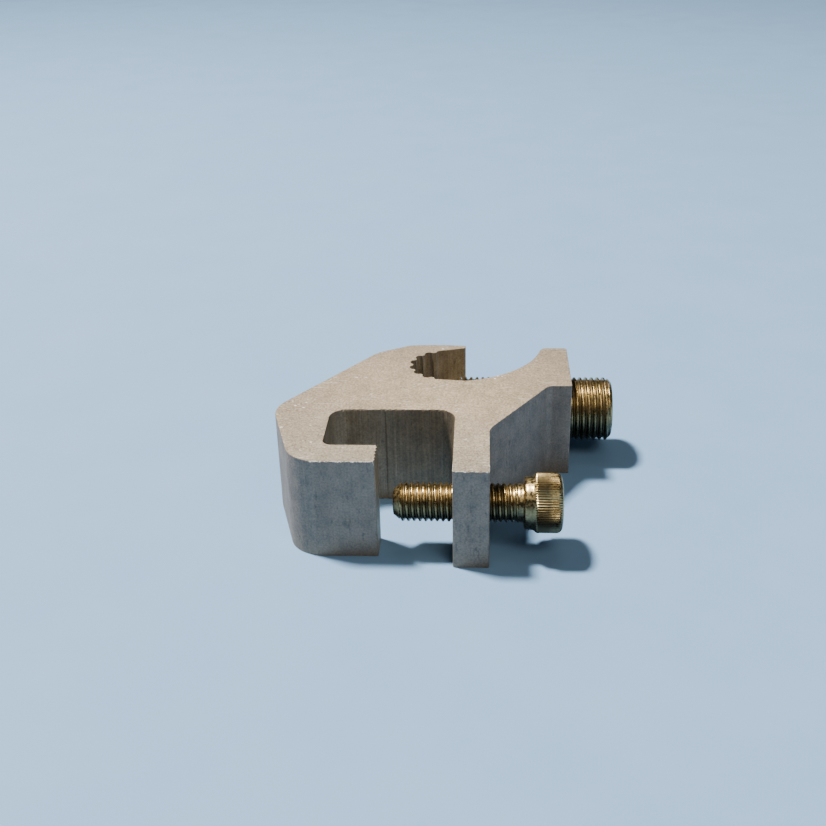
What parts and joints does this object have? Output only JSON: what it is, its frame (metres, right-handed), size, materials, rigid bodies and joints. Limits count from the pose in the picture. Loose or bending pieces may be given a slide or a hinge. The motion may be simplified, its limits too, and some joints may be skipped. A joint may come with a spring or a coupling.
{
  "type": "super clamp",
  "caption": "Extruded aluminium rigging clamp with a hooked slot and a toothed pipe jaw, each closed by a socket screw.",
  "frame": {"origin": "centre of the whole clamp's bounding box, on the sawn face that it lies on", "axes": "+X along both screws from tip to driven end, +Y from the hooked slot to the toothed jaw, +Z along the extrusion"},
  "size_m": [0.1112, 0.091, 0.0335],
  "materials": {
    "extruded_aluminium": "mill-finish extruded walls, sawn end faces",
    "yellow_zinc_steel": "bright zinc plate with yellow passivation"
  },
  "bodies": {
    "clamp": {"clamp_body": "extruded_aluminium"},
    "hook_screw": {"hook_screw": "yellow_zinc_steel"},
    "pipe_screw": {"pipe_screw": "yellow_zinc_steel"}
  },
  "joints": [
    {"name": "hook_screw_travel", "type": "slide", "parent": "clamp", "child": "hook_screw", "axis": [-1, 0, 0], "range_m": [-0.01925, 0.0035]},
    {"name": "pipe_screw_travel", "type": "slide", "parent": "clamp", "child": "pipe_screw", "axis": [-1, 0, 0], "range_m": [-0.03, 0.006]}
  ]
}
